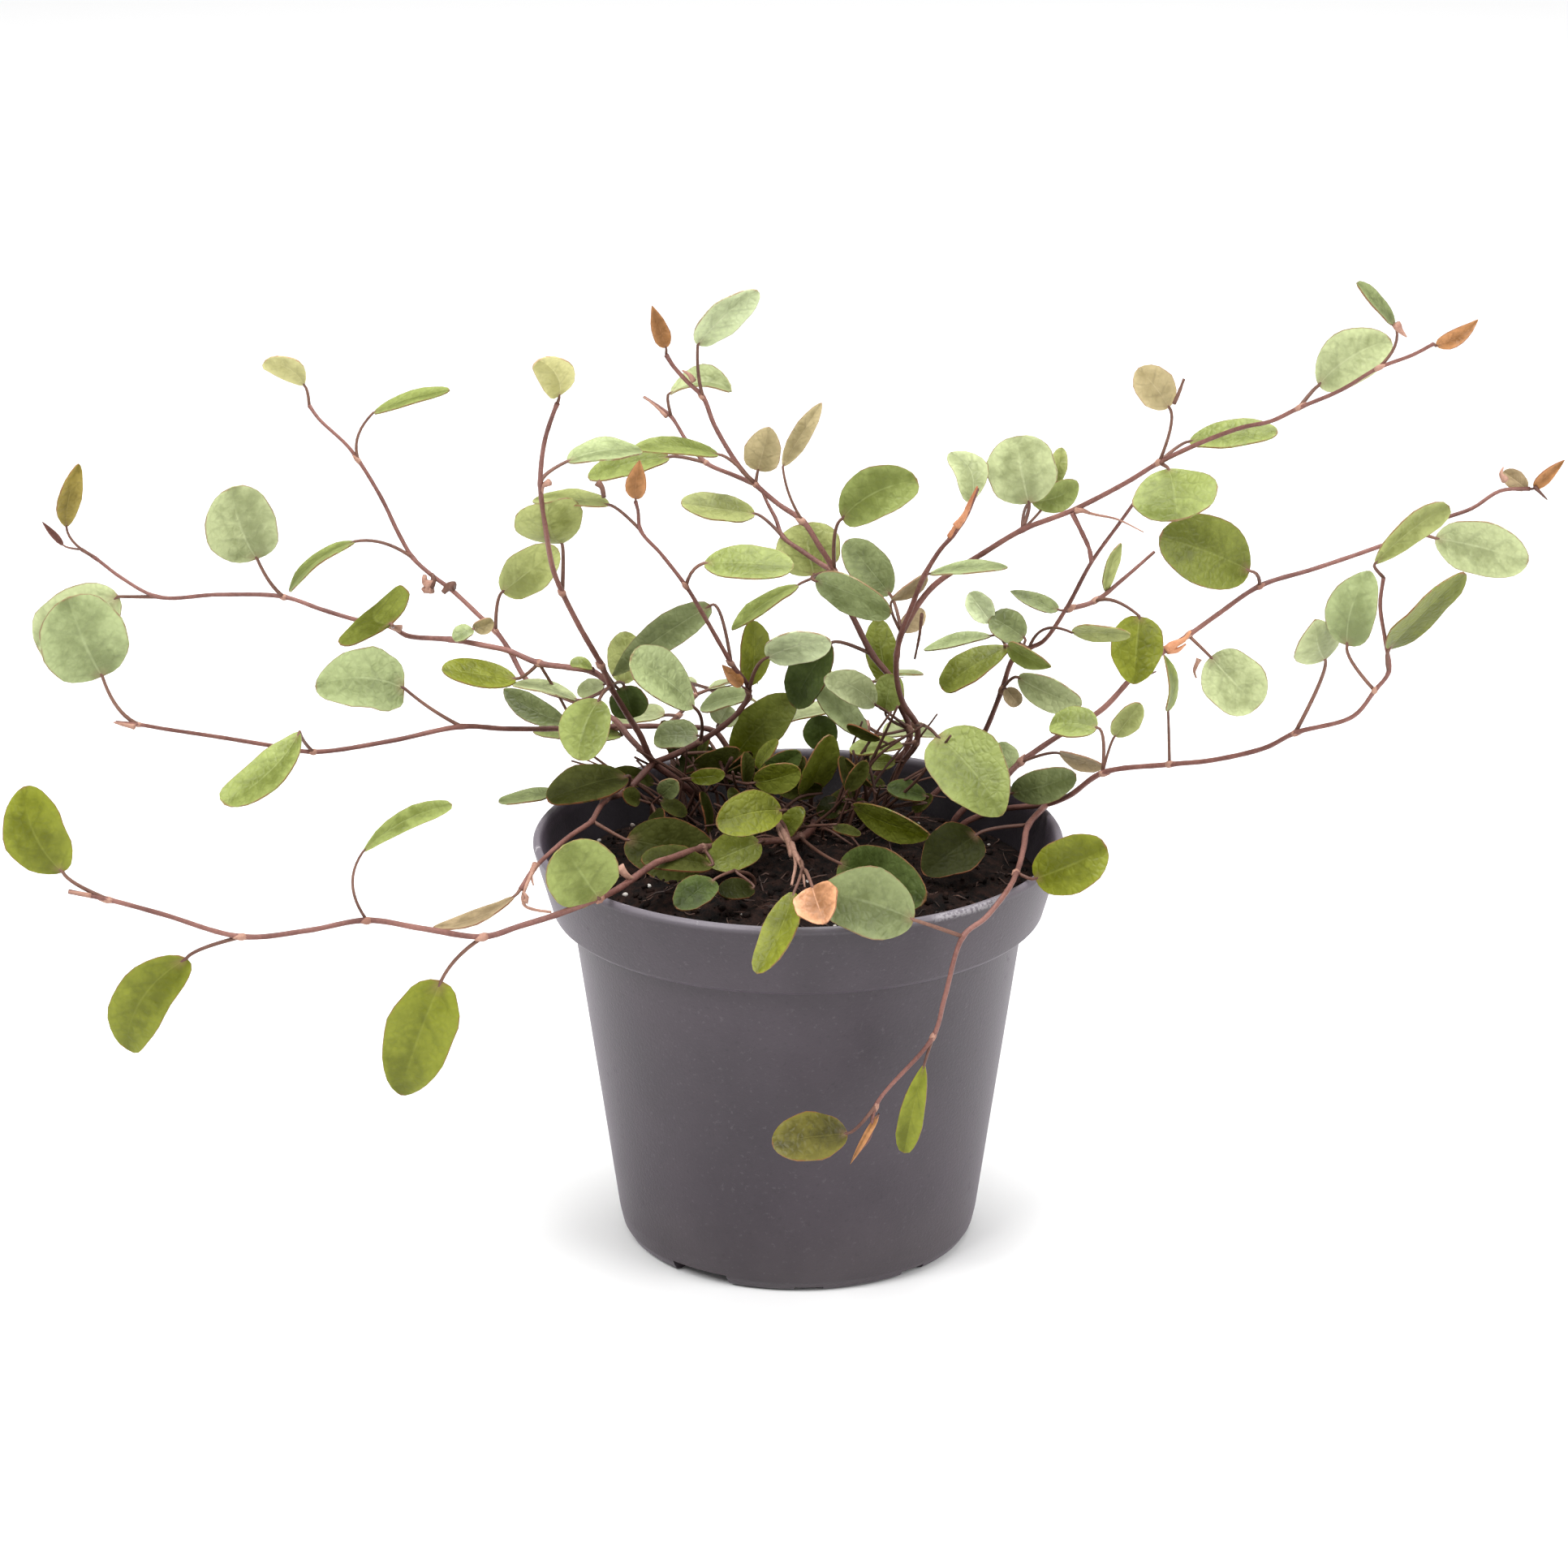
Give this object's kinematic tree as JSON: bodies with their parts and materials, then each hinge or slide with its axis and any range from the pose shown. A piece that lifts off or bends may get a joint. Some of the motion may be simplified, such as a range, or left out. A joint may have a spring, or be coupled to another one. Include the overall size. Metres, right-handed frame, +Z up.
{
  "type": "potted maidenhair vine",
  "caption": "Wiry vine with small round leaves, growing out and over the rim of a round tapered nursery pot with a stepped collar and filled with soil.",
  "frame": {"origin": "on the surface that the pot stands on, under the middle of the whole plant, which is the pot's axis", "axes": "+Z up along the pot's axis; -Y the front, where stems hang over the rim; X along the spread of the longest stems"},
  "size_m": [0.3585, 0.1861, 0.2357],
  "materials": {
    "pot_plastic": "satin injection-moulded plastic, warm grey with a lilac tint",
    "potting_soil": "dark moist peat with fibres and white flecks",
    "vine": "living leaves, sage to yellow green with a soft sheen, on pink-brown wiry stems"
  },
  "bodies": {
    "root": {"pot": "pot_plastic", "soil": "potting_soil", "stem_fan_left": "vine", "stem_low_left": "vine", "stem_fan_top": "vine", "stem_centre": "vine", "stem_right_fan": "vine", "stem_right_far": "vine", "stem_right_low": "vine", "stem_front_long": "vine", "sprig_front": "vine", "sprig_low_front": "vine", "sprig_centre_right": "vine", "sprig_centre_left": "vine", "sprig_centre": "vine", "sprig_left": "vine", "stem_back_left": "vine", "stem_back_right": "vine"}
  },
  "joints": []
}
